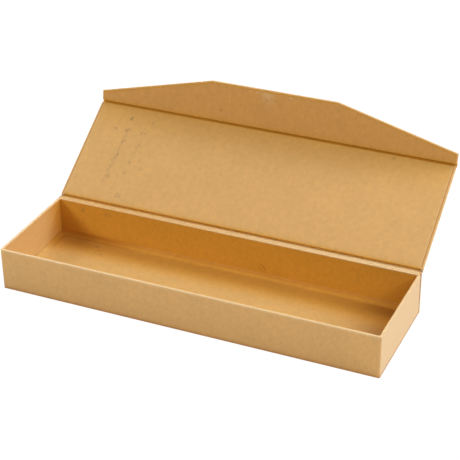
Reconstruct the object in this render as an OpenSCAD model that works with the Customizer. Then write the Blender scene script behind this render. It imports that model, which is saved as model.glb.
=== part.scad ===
// Brush box with a hinged lid: a paper-wrapped board tray in a three-panel case.
// Millimetres, +Z up, +X along the box, +Y to the back, origin under the middle of the tray.
// The lid and the flap stand open, as they do when the brushes are on show.

/* [Tray] */
// Outside length of the box, along X
box_length = 355; // [300:1:420]
// Outside depth of the tray, front to back, without the spine panel
box_depth = 104.7; // [85:0.1:140]
// Height of the tray, from the table to the rim
box_height = 40.2; // [34:0.1:60]

/* [Board and paper] */
// Thickness of the grey board
board_t = 2; // [1.5:0.1:2.6]
// Thickness of every sheet of kraft paper
paper_t = 0.2; // [0.12:0.01:0.26]
// Radius of the tray's wrapped upright corners
corner_r = 1.6; // [0.8:0.1:2]
// Width of the wrap's margin turned under the base
turn_under = 15; // [8:1:25]
// Distance of the base sheet's edge from the tray's edge
base_sheet_inset = 2; // [1:0.5:5]
// Height that the floor lining turns up the walls
floor_upturn = 4.5; // [3:0.5:10]
// Radius of the floor lining's bend, where it spans the corner of floor and wall
lining_bend = 3; // [1:0.5:3]
// Width of each leg of the gummed corner stays
stay_leg = 12; // [8:1:18]
// Thickness of the corner stays
stay_t = 0.1; // [0.06:0.01:0.11]
// Distance that the corner stays stop short of the walls' ends
stay_short = 1.5; // [0.5:0.5:4]

/* [Case panels] */
// Width of the cover's margins turned in over the board
turn_in = 15; // [8:1:20]
// Distance of the lining's edge from a panel's free edges
lining_inset = 2.5; // [1.5:0.5:5]
// Depth of the flap at its middle, from its top edge
flap_depth = 37.5; // [30:0.5:38.5]
// Depth of the flap at its two ends
flap_end_depth = 9.5; // [7:0.5:16]
// Width of the flap's straight lower edge
flap_tip_width = 125; // [80:1:180]

/* [Hinges] */
// Angle that the lid stands open from closed
lid_open = 147; // [100:1:170]
// Angle that the flap stands folded from flat
flap_fold = 48; // [10:1:80]
// Room between the closed lid and the rim
lid_gap = 0.3; // [0.2:0.1:0.8]
// Room between the closed flap and the front wall
flap_gap = 0.3; // [0.2:0.1:0.8]
// Distance of the lid's hinge line outside the spine's outer face
hinge_out = 0.1; // [0:0.1:0.6]
// Height of the lid's hinge line above the rim
hinge_up = 0.5; // [0.2:0.1:0.8]
// Width of the groove between the lid and the flat flap
fold_groove = 4; // [3:0.1:4.4]
// Distance of the flap's fold line from the inner faces
fold_in = 2; // [1.6:0.1:2.4]
// How far the slack hinge papers bow
hinge_bow = 0.25; // [0:0.05:0.5]
// Room between a hinge paper's ends and the edges that it joins
strip_gap = 0.05; // [0.02:0.01:0.1]

/* [Closure] */
// Diameter of the magnet and of the steel disc
disc_d = 24; // [12:1:26]
// Thickness of the magnet
magnet_t = 1.5; // [1:0.1:1.5]
// Thickness of the steel disc
steel_t = 0.8; // [0.5:0.1:1.2]
// Room round each disc in its board
disc_fit = 0.3; // [0.1:0.1:0.6]
// Distance of the magnet's middle below the flap's top edge
magnet_drop = 17.2; // [15:0.1:22]

/* [Hidden] */
$fn = 64;

// Colours of the papers, the board and the metal
kraft_outer = [0.78, 0.60, 0.38];
kraft_inner = [0.83, 0.65, 0.42];
grey_board = [0.60, 0.58, 0.54];
tape_brown = [0.66, 0.50, 0.32];
plated_metal = [0.74, 0.75, 0.77];

// Levels of the tray, from the table up
wrap_z = paper_t;
board_z = wrap_z + paper_t;
floor_z = board_z + board_t;
wall_top = box_height - paper_t;

// Insets from the tray's outside to the faces of its layers
board_out = paper_t;
board_in = board_out + board_t;
rim_t = board_in + paper_t;

// A case panel, from its inner face: lining, turned-in cover, board, cover
panel_t = board_t + 3 * paper_t;
board_level = 2 * paper_t;
cover_level = board_level + board_t;

// The spine stands behind the tray
back_y = box_depth / 2;
front_y = -box_depth / 2;
spine_out = back_y + panel_t;

// The closed lid lies over the tray, and the closed flap hangs in front of it
lid_z = box_height + lid_gap;
flap_y = front_y - flap_gap;
flap_top = lid_z + flap_gap + 2 * fold_in - fold_groove;
disc_z = flap_top - magnet_drop;

// Hinge lines as [y, z], with the lid closed
lid_axis = [spine_out + hinge_out, box_height + hinge_up];
flap_axis = [flap_y - fold_in, lid_z + fold_in];

// Steps along a bowed hinge paper
bow_steps = 8;

// A point [y, z] turned about another by an angle, +Y towards +Z
function turned(p, c, a) = [
    c[0] + (p[0] - c[0]) * cos(a) - (p[1] - c[1]) * sin(a),
    c[1] + (p[0] - c[0]) * sin(a) + (p[1] - c[1]) * cos(a)
];
// Where a point of the closed lid or flap lies when they stand open
function on_lid(p) = turned(p, lid_axis, -lid_open);
function on_flap(p) = on_lid(turned(p, flap_axis, flap_fold - 90));

// Points from a to b, bowed sideways by a parabola
function bowed(a, b, bow) = [
    for (i = [0:bow_steps])
        let (t = i / bow_steps, run = b - a)
        a + run * t + [run[1], -run[0]] / norm(run) * bow * 4 * t * (1 - t)
];
function reversed(list) = [for (i = [len(list) - 1:-1:0]) list[i]];

// Slope of the flap's slanting edges, and how far an inset of 1 lifts them
flap_run = (box_length - flap_tip_width) / 2;
flap_rise = flap_depth - flap_end_depth;
slope = flap_rise / flap_run;
slope_lift = norm([1, slope]);

// Half of the flap's lower corner positions for an inset of its free edges
function flap_end_v(i) = flap_end_depth + i * (slope - slope_lift);
function flap_tip_x(i) = box_length / 2 - (flap_rise - i + i * slope_lift) / slope;

// A block centred on X between two depths and two heights
module slab(length, y0, y1, z0, z1) {
    translate([-length / 2, y0, z0])
        cube([length, y1 - y0, z1 - z0]);
}

// The tray's plan, drawn in by an inset, with round corners
module tray_plan(inset) {
    r = corner_r - inset;
    half_x = box_length / 2 - inset;
    half_y = box_depth / 2 - inset;
    square([2 * half_x, 2 * (half_y - r)], center = true);
    square([2 * (half_x - r), 2 * half_y], center = true);
    for (sx = [-1, 1], sy = [-1, 1])
        translate([sx * (half_x - r), sy * (half_y - r)])
            circle(r = r);
}

// A plain rectangle, drawn in by an inset from the tray's plan
module tray_rectangle(inset) {
    square([box_length - 2 * inset, box_depth - 2 * inset], center = true);
}

// The ring of the four wall boards, in plan
module wall_ring() {
    difference() {
        tray_plan(board_out);
        tray_rectangle(board_in);
    }
}

// A wall board: the part of the ring that a rectangle picks out
module wall_board(low, size) {
    translate([0, 0, board_z])
        linear_extrude(wall_top - board_z)
            intersection() {
                wall_ring();
                translate(low) square(size);
            }
}

// The space of the corner stays, between the boards and the wrap
module stay_space() {
    translate([0, 0, board_z + stay_short])
        linear_extrude(wall_top - board_z - 2 * stay_short)
            difference() {
                intersection() {
                    tray_plan(board_out - stay_t);
                    for (sx = [-1, 1], sy = [-1, 1])
                        translate([
                            sx * (box_length - stay_leg) / 2,
                            sy * (box_depth - stay_leg) / 2
                        ])
                            square(stay_leg, center = true);
                }
                tray_plan(board_out);
            }
}

module base_board() {
    color(grey_board)
        translate([0, 0, board_z])
            linear_extrude(board_t)
                tray_rectangle(board_in);
}

module front_wall_board() {
    color(grey_board)
        difference() {
            wall_board([-box_length / 2, front_y], [box_length, board_in]);
            // Pocket of the steel disc, open to the wrap
            translate([0, front_y, disc_z])
                rotate([-90, 0, 0])
                    cylinder(d = disc_d + 2 * disc_fit, h = board_out + steel_t);
        }
}

module back_wall_board() {
    color(grey_board)
        wall_board([-box_length / 2, back_y - board_in], [box_length, board_in]);
}

module left_wall_board() {
    color(grey_board)
        wall_board([-box_length / 2, front_y + board_in], [board_in, box_depth - 2 * board_in]);
}

module right_wall_board() {
    color(grey_board)
        wall_board([box_length / 2 - board_in, front_y + board_in], [board_in, box_depth - 2 * board_in]);
}

module corner_stays() {
    color(tape_brown) stay_space();
}

// Outer paper: up the walls, over the rim, down to the floor and under the base
module tray_wrap() {
    color(kraft_outer)
        difference() {
            translate([0, 0, wrap_z])
                linear_extrude(box_height - wrap_z)
                    tray_plan(0);
            // Room for the wall boards
            translate([0, 0, board_z])
                linear_extrude(wall_top - board_z)
                    wall_ring();
            // Room for the base board
            translate([0, 0, board_z])
                linear_extrude(board_t)
                    tray_rectangle(board_in);
            // Inside of the tray
            translate([0, 0, floor_z])
                linear_extrude(box_height)
                    tray_rectangle(rim_t);
            // Window between the margins under the base
            linear_extrude(board_z)
                tray_rectangle(turn_under);
            stay_space();
        }
}

// Sheet under the base, filled up to the board between the wrap's margins
module base_sheet() {
    color(kraft_outer) {
        linear_extrude(wrap_z)
            tray_rectangle(base_sheet_inset);
        linear_extrude(board_z)
            tray_rectangle(turn_under);
    }
}

// Section of a trough with round lower corners, open at its top
module trough(half, height, r) {
    translate([-half, r])
        square([2 * half, height - r]);
    translate([r - half, 0])
        square([2 * (half - r), height]);
    for (side = [-1, 1])
        translate([side * (half - r), r])
            circle(r = r);
}

// Body with the trough's section in both directions, so that its corners are mitred
module bent_tray(inset, z, height, r) {
    translate([0, 0, z])
        intersection() {
            rotate([90, 0, 0])
                linear_extrude(box_depth, center = true)
                    trough(box_length / 2 - inset, height, r);
            rotate([90, 0, 90])
                linear_extrude(box_length, center = true)
                    trough(box_depth / 2 - inset, height, r);
        }
}

// Sheet on the floor, which spans the corners in a bend and turns up the walls
module floor_lining() {
    color(kraft_inner)
        difference() {
            bent_tray(rim_t, floor_z, paper_t + floor_upturn, lining_bend + paper_t);
            bent_tray(rim_t + paper_t, floor_z + paper_t, box_height, lining_bend);
        }
}

module steel_disc() {
    color(plated_metal)
        translate([0, front_y + board_out, disc_z])
            rotate([-90, 0, 0])
                cylinder(d = disc_d, h = steel_t);
}

// Spine: glued behind the tray's back wall, and standing on the table with it
module spine_board() {
    color(grey_board)
        slab(
            box_length - 2 * paper_t,
            back_y + board_level, back_y + cover_level,
            paper_t, wall_top
        );
}

// Inner paper of the spine, turned over its top edge
module spine_lining() {
    length = box_length - 2 * lining_inset;
    color(kraft_inner) {
        slab(length, back_y, back_y + paper_t, lining_inset, box_height);
        slab(box_length - 2 * turn_in, back_y, back_y + board_level, turn_in, box_height);
        slab(length, back_y, back_y + cover_level, wall_top, box_height);
    }
}

// Outer paper of the spine, turned in at its foot and ends
module spine_cover() {
    color(kraft_outer)
        difference() {
            slab(box_length, back_y + paper_t, spine_out, 0, box_height);
            spine_board();
            spine_lining();
        }
}

// Carries a piece of the closed lid to where the lid stands open
module lid_place() {
    translate([0, lid_axis[0], lid_axis[1]])
        rotate([-lid_open, 0, 0])
            translate([0, -lid_axis[0], -lid_axis[1]])
                children();
}

// Carries a piece of the closed flap to where the flap stands open
module flap_place() {
    lid_place()
        translate([0, flap_axis[0], flap_axis[1]])
            rotate([flap_fold - 90, 0, 0])
                translate([0, -flap_axis[0], -flap_axis[1]])
                    children();
}

module closed_lid_board() {
    slab(
        box_length - 2 * paper_t,
        front_y + paper_t, back_y - paper_t,
        lid_z + board_level, lid_z + cover_level
    );
}

// Inner sheet of the lid, turned over its two hinged edges
module closed_lid_lining() {
    length = box_length - 2 * lining_inset;
    slab(length, front_y, back_y, lid_z, lid_z + paper_t);
    slab(box_length - 2 * turn_in, front_y, back_y, lid_z, lid_z + board_level);
    slab(length, front_y, front_y + paper_t, lid_z, lid_z + cover_level);
    slab(length, back_y - paper_t, back_y, lid_z, lid_z + cover_level);
}

module lid_board() {
    color(grey_board) lid_place() closed_lid_board();
}

module lid_lining() {
    color(kraft_inner) lid_place() closed_lid_lining();
}

// Outer paper of the lid, turned in over its two ends
module lid_cover() {
    color(kraft_outer)
        lid_place()
            difference() {
                slab(box_length, front_y, back_y, lid_z + paper_t, lid_z + panel_t);
                closed_lid_board();
                closed_lid_lining();
            }
}

// A plate of the flap's outline between two levels from its inner face
module flap_plate(inset, top_inset, level_0, level_1) {
    end_x = box_length / 2 - inset;
    end_v = flap_end_v(inset);
    tip_x = flap_tip_x(inset);
    tip_v = flap_depth - inset;
    translate([0, flap_y - level_0, flap_top])
        rotate([90, 0, 0])
            linear_extrude(level_1 - level_0)
                polygon([
                    [-end_x, -top_inset], [-end_x, -end_v], [-tip_x, -tip_v],
                    [tip_x, -tip_v], [end_x, -end_v], [end_x, -top_inset]
                ]);
}

module closed_flap_board() {
    flap_plate(paper_t, paper_t, board_level, cover_level);
}

// Inner sheet of the flap, turned over its hinged edge
module closed_flap_lining() {
    length = box_length - 2 * lining_inset;
    flap_plate(lining_inset, 0, 0, paper_t);
    slab(flap_tip_width, flap_y - board_level, flap_y, flap_top - flap_depth + turn_in, flap_top);
    slab(length, flap_y - cover_level, flap_y, flap_top - paper_t, flap_top);
}

module flap_board() {
    color(grey_board)
        flap_place()
            difference() {
                closed_flap_board();
                // Hole of the magnet
                translate([0, flap_y - board_level, disc_z])
                    rotate([90, 0, 0])
                        cylinder(d = disc_d + 2 * disc_fit, h = 3 * board_t, center = true);
            }
}

module flap_lining() {
    color(kraft_inner) flap_place() closed_flap_lining();
}

// Outer paper of the flap, turned in along its free edges
module flap_cover() {
    color(kraft_outer)
        flap_place()
            difference() {
                flap_plate(0, 0, paper_t, panel_t);
                closed_flap_board();
                closed_flap_lining();
            }
}

// Disc magnet in the flap, flush with the board's inner face
module flap_magnet() {
    color(plated_metal)
        flap_place()
            translate([0, flap_y - board_level, disc_z])
                rotate([90, 0, 0])
                    cylinder(d = disc_d, h = magnet_t);
}

// A strip of paper along X between two bowed lines, each given by its ends [y, z]
module hinge_strip(length, a0, b0, a1, b1, bow) {
    rotate([90, 0, 90])
        linear_extrude(length, center = true)
            polygon(concat(bowed(a0, b0, bow), reversed(bowed(a1, b1, bow))));
}

// Layer edges of the hinge papers on the spine, the lid and the flap, from the outside in
function spine_edge(k) = [spine_out + strip_gap, box_height - 2 * paper_t + k * paper_t];
function lid_rear_edge(k) = on_lid([back_y + strip_gap, lid_z + panel_t - k * paper_t]);
function lid_front_edge(k) = on_lid([front_y - strip_gap, lid_z + panel_t - k * paper_t]);
function flap_top_edge(k) = on_flap([flap_y - panel_t + k * paper_t, flap_top + strip_gap]);

module back_hinge_cover() {
    color(kraft_outer)
        hinge_strip(
            box_length, spine_edge(0), lid_rear_edge(0),
            spine_edge(1), lid_rear_edge(1), hinge_bow
        );
}

module back_hinge_lining() {
    color(kraft_inner)
        hinge_strip(
            box_length - 2 * lining_inset, spine_edge(1), lid_rear_edge(1),
            spine_edge(2), lid_rear_edge(2), hinge_bow
        );
}

module flap_hinge_cover() {
    color(kraft_outer)
        hinge_strip(
            box_length, lid_front_edge(0), flap_top_edge(0),
            lid_front_edge(1), flap_top_edge(1), hinge_bow
        );
}

module flap_hinge_lining() {
    color(kraft_inner)
        hinge_strip(
            box_length - 2 * lining_inset, lid_front_edge(1), flap_top_edge(1),
            lid_front_edge(2), flap_top_edge(2), hinge_bow
        );
}

base_board();
front_wall_board();
back_wall_board();
left_wall_board();
right_wall_board();
corner_stays();
tray_wrap();
base_sheet();
floor_lining();
steel_disc();
spine_board();
spine_cover();
spine_lining();
lid_board();
lid_cover();
lid_lining();
flap_board();
flap_cover();
flap_lining();
flap_magnet();
back_hinge_cover();
back_hinge_lining();
flap_hinge_cover();
flap_hinge_lining();
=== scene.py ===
"""The looks of a long brush box: kraft paper over grey board, with its lid and flap standing open.

Lengths are in millimetres here and in metres in the meshes. The origin lies under the middle of
the tray, X runs along the box, Y to its back and Z up.
"""

import logging
import math
from dataclasses import dataclass, field
from enum import Enum

import bmesh
import bpy
import numpy as np
from mathutils import Matrix, Vector


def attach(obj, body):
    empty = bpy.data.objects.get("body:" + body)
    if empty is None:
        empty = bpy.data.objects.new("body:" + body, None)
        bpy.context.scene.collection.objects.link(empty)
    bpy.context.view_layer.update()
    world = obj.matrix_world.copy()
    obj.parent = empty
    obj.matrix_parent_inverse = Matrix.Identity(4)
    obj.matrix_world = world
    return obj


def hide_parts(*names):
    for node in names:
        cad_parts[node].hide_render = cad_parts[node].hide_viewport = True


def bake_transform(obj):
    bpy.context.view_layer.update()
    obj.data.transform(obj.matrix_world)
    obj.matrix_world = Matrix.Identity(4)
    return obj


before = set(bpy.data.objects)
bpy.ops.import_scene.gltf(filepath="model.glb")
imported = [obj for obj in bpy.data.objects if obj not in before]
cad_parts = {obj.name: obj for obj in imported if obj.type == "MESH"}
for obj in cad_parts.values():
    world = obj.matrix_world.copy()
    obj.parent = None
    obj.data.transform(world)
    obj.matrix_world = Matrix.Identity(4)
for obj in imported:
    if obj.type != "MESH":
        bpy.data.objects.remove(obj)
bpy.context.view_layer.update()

log = logging.getLogger("brush_box")

MM = 0.001
PAPER_UV = "paper_uv"
# A normal's share along an axis from which a point counts as lying on that face
FACING = 0.99
# Distance in mm within which a point counts as lying on a wall
TOUCHING = 0.01
# Pale mark: abrasion, and painted highlights on edges and faces that the lamps light.
WEAR_AND_HIGHLIGHT = "wear_and_highlight"
RUB = "rub"
# Dark dots: specks, and painted shade in the gaps at the back hinge's ends.
SPECK_AND_SHADE = "speck_and_shade"
# Darkening: scratches and dirt, and painted shade and shadow in corners, creases, gaps and under edges.
GRIME_AND_SHADE = "grime_and_shade"
# Share of the painted shade tone, a darker and more saturated copy of the paper for places in shade.
SHADE_TONE = "shade_tone"
MARKS = (WEAR_AND_HIGHLIGHT, RUB, SPECK_AND_SHADE, GRIME_AND_SHADE, SHADE_TONE)
WHITE = (1.0, 1.0, 1.0, 1.0)
SHARP_ANGLE = math.radians(48)
WELD_DISTANCE = 0.000002
Colour = tuple[float, float, float]
Array = np.ndarray


@dataclass(frozen=True)
class BoxSizes:
    """The sizes that the pieces share, which are those of the solids."""

    length: float = 355.0
    depth: float = 104.7
    height: float = 40.2
    board: float = 2.0
    paper: float = 0.2
    lining_inset: float = 2.5
    flap_depth: float = 37.5
    flap_end_depth: float = 9.5
    flap_tip_width: float = 125.0
    lid_open: float = 147.0
    flap_fold: float = 48.0
    lid_gap: float = 0.3
    flap_gap: float = 0.3
    hinge_out: float = 0.1
    hinge_up: float = 0.5
    fold_groove: float = 4.0
    fold_in: float = 2.0
    magnet_drop: float = 17.2
    disc_width: float = 24.0

    @property
    def half_length(self) -> float:
        """Half of the box's length."""
        return self.length / 2

    @property
    def back(self) -> float:
        """Y of the tray's back face, where the spine begins."""
        return self.depth / 2

    @property
    def rim(self) -> float:
        """Thickness of a wrapped wall."""
        return self.board + 2 * self.paper

    @property
    def panel(self) -> float:
        """Thickness of a case panel with its lining."""
        return self.board + 3 * self.paper

    @property
    def floor_face(self) -> float:
        """Z of the lined floor, over the wrap, the base sheet and the board."""
        return self.board + 3 * self.paper

    @property
    def lid_level(self) -> float:
        """Z of the closed lid's lining."""
        return self.height + self.lid_gap

    @property
    def flap_face(self) -> float:
        """Y of the closed flap's lining."""
        return -self.back - self.flap_gap

    @property
    def flap_top(self) -> float:
        """Z of the closed flap's hinged edge."""
        return self.lid_level + self.flap_gap + 2 * self.fold_in - self.fold_groove

    @property
    def lid_axis(self) -> Array:
        """Y and Z of the line that the lid turns on."""
        return np.array([self.back + self.panel + self.hinge_out, self.height + self.hinge_up])

    @property
    def flap_axis(self) -> Array:
        """Y and Z of the closed flap's fold line."""
        return np.array([self.flap_face - self.fold_in, self.lid_level + self.fold_in])


SIZES = BoxSizes()


def turned(points: Array, centre: Array, degrees: float) -> Array:
    """Turns Y and Z about a line along X, from +Y towards +Z.

    Args:
        points: Y and Z in the last axis.
        centre: Y and Z of the line.
        degrees: the angle.

    Returns:
        The turned points, by the usual matrix of cosines and sines.
    """
    c, s = math.cos(math.radians(degrees)), math.sin(math.radians(degrees))
    return centre + (points - centre) @ np.array([[c, s], [-s, c]])


class Leaf(Enum):
    """The three panels of the case, each with the body that carries it."""

    SPINE = "tray"
    LID = "lid"
    FLAP = "flap"

    def place(self, x: Array, v: Array, w: Array) -> Array:
        """Puts points of this panel where it stands in the open box.

        Args:
            x: along the box.
            v: across the panel: up the spine, from the lid's hinge, or from the flap's fold.
            w: depth below the panel's lining face.

        Returns:
            The points in the last axis. Each panel is laid out closed, and then turned about
            the lid's line and, for the flap, about its own fold line first.
        """
        x, v, w = np.broadcast_arrays(x, v, w)
        if self is Leaf.SPINE:
            return joined(x, SIZES.back + w, v)
        if self is Leaf.LID:
            yz = joined(SIZES.back - v, SIZES.lid_level + w)
        else:
            yz = joined(SIZES.flap_face - w, SIZES.flap_top - v)
            yz = turned(yz, SIZES.flap_axis, SIZES.flap_fold - 90)
        yz = turned(yz, SIZES.lid_axis, -SIZES.lid_open)
        return np.concatenate([x[..., None], yz], axis=-1)


def stations(length: float, step: float, near: tuple[float, ...] = (0.4, 1.0, 2.0, 4.0)) -> Array:
    """Shares of a length at which to sample it, closer together at its two ends.

    Args:
        length: the length.
        step: the largest distance between samples.
        near: distances from each end that get a sample of their own.

    Returns:
        Rising shares from 0 to 1.
    """
    ends = [d for d in near if d < length / 2]
    start = ends[-1] if ends else 0.0
    count = max(2, int(math.ceil((length - 2 * start) / step)) + 1)
    middle = np.linspace(start, length - start, count)
    lows = np.array([0.0, *ends[:-1]]) if ends else np.array([])
    return np.concatenate([lows, middle, length - lows[::-1]]) / length


def quarter(count: int) -> Array:
    """Angles of a quarter turn, from 0 to half pi."""
    return np.linspace(0, math.pi / 2, count)


def unevenness(a: Array, b: Array, phase: float) -> Array:
    """A slow unevenness from -1 to 1 over two lengths.

    Args:
        a: the first length.
        b: the second length.
        phase: where the pattern starts, so that no two sheets share one.

    Returns:
        The mean of three products of sines whose wavelengths don't fit each other.
    """
    first = np.sin(a / 19.0 + phase) * np.cos(b / 13.0 + 2 * phase)
    second = np.sin(a / 7.3 + b / 11.0 + 3 * phase)
    third = np.sin(a / 41.0 - b / 29.0 + 5 * phase)
    return (first + second + third) / 3


def joined(*parts: Array) -> Array:
    """Values brought to one shape and stacked in a last axis."""
    return np.stack(np.broadcast_arrays(*parts), -1)


def lengths(points: Array) -> Array:
    """Running length round a closed line, from 0 to the whole, for points by coordinates."""
    steps = np.linalg.norm(np.diff(points, axis=0, append=points[:1]), axis=1)
    return np.concatenate([[0.0], np.cumsum(steps)])


def closed(grid: Array) -> Array:
    """A grid with its first column once more at its end."""
    return np.concatenate([grid, grid[:, :1]], axis=1)


def outline_of(grid: Array) -> Array:
    """The border of a grid as one closed round.

    Args:
        grid: rows and columns of points or values.

    Returns:
        The border's items, along the first row, down the last column and back.
    """
    return np.concatenate([grid[0, :-1], grid[:-1, -1], grid[-1, :0:-1], grid[:0:-1, 0]])


@dataclass
class Patch:
    """A grid of points with its paper coordinates and its marks."""

    points: Array
    uv: Array
    marks: dict[str, Array] = field(default_factory=dict)
    round_rows: bool = False
    round_cols: bool = False

    def corners(self) -> tuple[Array, Array]:
        """The quads between neighbours on the grid.

        Returns:
            The corners' numbers in the points, and in the paper coordinates, which have one row
            or column more where the grid closes on itself.
        """
        rows, cols = self.points.shape[:2]
        r, c = np.meshgrid(
            np.arange(rows - (not self.round_rows)),
            np.arange(cols - (not self.round_cols)),
            indexing="ij",
        )
        steps = [(0, 0), (0, 1), (1, 1), (1, 0)]
        wide = self.uv.shape[1]
        ids = [((r + i) % rows) * cols + (c + j) % cols for i, j in steps]
        uvs = [(r + i) * wide + c + j for i, j in steps]
        return np.stack(ids, -1).reshape(-1, 4), np.stack(uvs, -1).reshape(-1, 4)


def made(name: str, patches: list[Patch], body: str | None) -> bpy.types.Object:
    """Makes one closed piece of several patches.

    Args:
        name: the piece's name.
        patches: the grids, which meet at shared points.
        body: the body that the piece rides on, or None for a piece that spans two and rides on neither.

    Returns:
        The new object. Points that coincide are welded, and the faces are turned outwards.
    """
    points, quads, uvs, start = [], [], [], 0
    for patch in patches:
        ids, uv_ids = patch.corners()
        points.append(patch.points.reshape(-1, 3))
        quads.append(ids + start)
        uvs.append(patch.uv.reshape(-1, 2)[uv_ids.ravel()])
        start += patch.points.shape[0] * patch.points.shape[1]
    mesh = bpy.data.meshes.new(name)
    mesh.from_pydata((np.concatenate(points) * MM).tolist(), [], np.concatenate(quads).tolist())
    layer = mesh.uv_layers.new(name=PAPER_UV)
    layer.data.foreach_set("uv", (np.concatenate(uvs) * MM).astype(np.float32).ravel())
    for mark in MARKS:
        values = [p.marks.get(mark, np.zeros(p.points.shape[:2])).ravel() for p in patches]
        attribute = mesh.attributes.new(mark, "FLOAT", "POINT")
        attribute.data.foreach_set("value", np.concatenate(values).astype(np.float32))
    work = bmesh.new()
    work.from_mesh(mesh)
    bmesh.ops.remove_doubles(work, verts=work.verts, dist=WELD_DISTANCE)
    bmesh.ops.recalc_face_normals(work, faces=work.faces)
    work.to_mesh(mesh)
    work.free()
    mesh.shade_smooth()
    mesh.set_sharp_from_angle(angle=SHARP_ANGLE)
    piece = bpy.data.objects.new(name, mesh)
    bpy.context.scene.collection.objects.link(piece)
    if body is not None:
        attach(piece, body)
    log.info("%s: %d faces", name, len(mesh.polygons))
    return piece


class Tree:
    """The nodes of a material or of the surroundings, with short calls that add and join them."""

    def __init__(self, owner: bpy.types.Material | bpy.types.World) -> None:
        """Starts with no nodes."""
        owner.use_nodes = True
        self.owner = owner
        self.nodes = owner.node_tree.nodes
        self.nodes.clear()

    def add(self, kind: str, sockets: dict[str | int, object], **settings: object) -> bpy.types.Node:
        """Adds a node.

        Args:
            kind: the node's type, without its ShaderNode prefix.
            sockets: a value, or an output socket to join, for each named or numbered input.
            settings: the node's own settings.

        Returns:
            The node.
        """
        node = self.nodes.new("ShaderNode" + kind)
        for name, value in settings.items():
            setattr(node, name, value)
        for name, value in sockets.items():
            if isinstance(value, bpy.types.NodeSocket):
                self.owner.node_tree.links.new(value, node.inputs[name])
            else:
                node.inputs[name].default_value = value
        return node

    def noise(self, where: bpy.types.NodeSocket, scale: float, detail: float) -> bpy.types.NodeSocket:
        """A plain noise value at so many cells a metre."""
        return self.add("TexNoise", {"Vector": where, "Scale": scale, "Detail": detail}).outputs[0]

    def mapped(self, where: bpy.types.NodeSocket, scale: Colour, turn: float = 0.0) -> bpy.types.NodeSocket:
        """Coordinates turned in their own plane and scaled, which draws a pattern out."""
        sockets = {"Vector": where, "Rotation": (0.0, 0.0, turn), "Scale": scale}
        return self.add("Mapping", sockets).outputs[0]

    def mark(self, name: str) -> bpy.types.NodeSocket:
        """A mark's depth on the piece, from 0 to 1."""
        return self.add("Attribute", {}, attribute_name=name).outputs["Fac"]

    def math(self, operation: str, a: object, b: object, c: object = 0.0) -> bpy.types.NodeSocket:
        """The result of one sum on numbers or sockets."""
        return self.add("Math", {0: a, 1: b, 2: c}, operation=operation).outputs[0]

    def spread(self, value: bpy.types.NodeSocket, low: float, high: float) -> bpy.types.NodeSocket:
        """A value stretched so that low becomes 0 and high becomes 1, held between them."""
        node = self.add("MapRange", {"Value": value, "From Min": low, "From Max": high})
        return node.outputs[0]

    def blend(self, share: object, a: object, b: object) -> bpy.types.NodeSocket:
        """A colour between two, by a share."""
        node = self.add("Mix", {0: share, 6: a, 7: b}, data_type="RGBA")
        return node.outputs[2]

    def seen(self) -> bpy.types.NodeSocket:
        """1 for the eye, in reflections and through what is clear, and 0 for light on the object."""
        path = self.add("LightPath", {}).outputs
        share = self.math("ADD", path["Is Camera Ray"], path["Is Glossy Ray"])
        return self.math("MINIMUM", self.math("ADD", share, path["Is Transmission Ray"]), 1.0)

    def finish(self, shader: bpy.types.Node) -> bpy.types.Material | bpy.types.World:
        """Joins the shader to the output and hands the owner over."""
        kind = "OutputWorld" if isinstance(self.owner, bpy.types.World) else "OutputMaterial"
        self.add(kind, {"Surface": shader.outputs[0]})
        return self.owner


def opaque(colour: Colour, share: float = 1.0) -> tuple[float, float, float, float]:
    """A colour scaled by a share, with full opacity."""
    return (colour[0] * share, colour[1] * share, colour[2] * share, 1.0)


class PatternOn(Enum):
    """What a paper's pattern is laid out on."""

    OWN_SHEET = "UV"
    SOLID = "Object"


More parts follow.
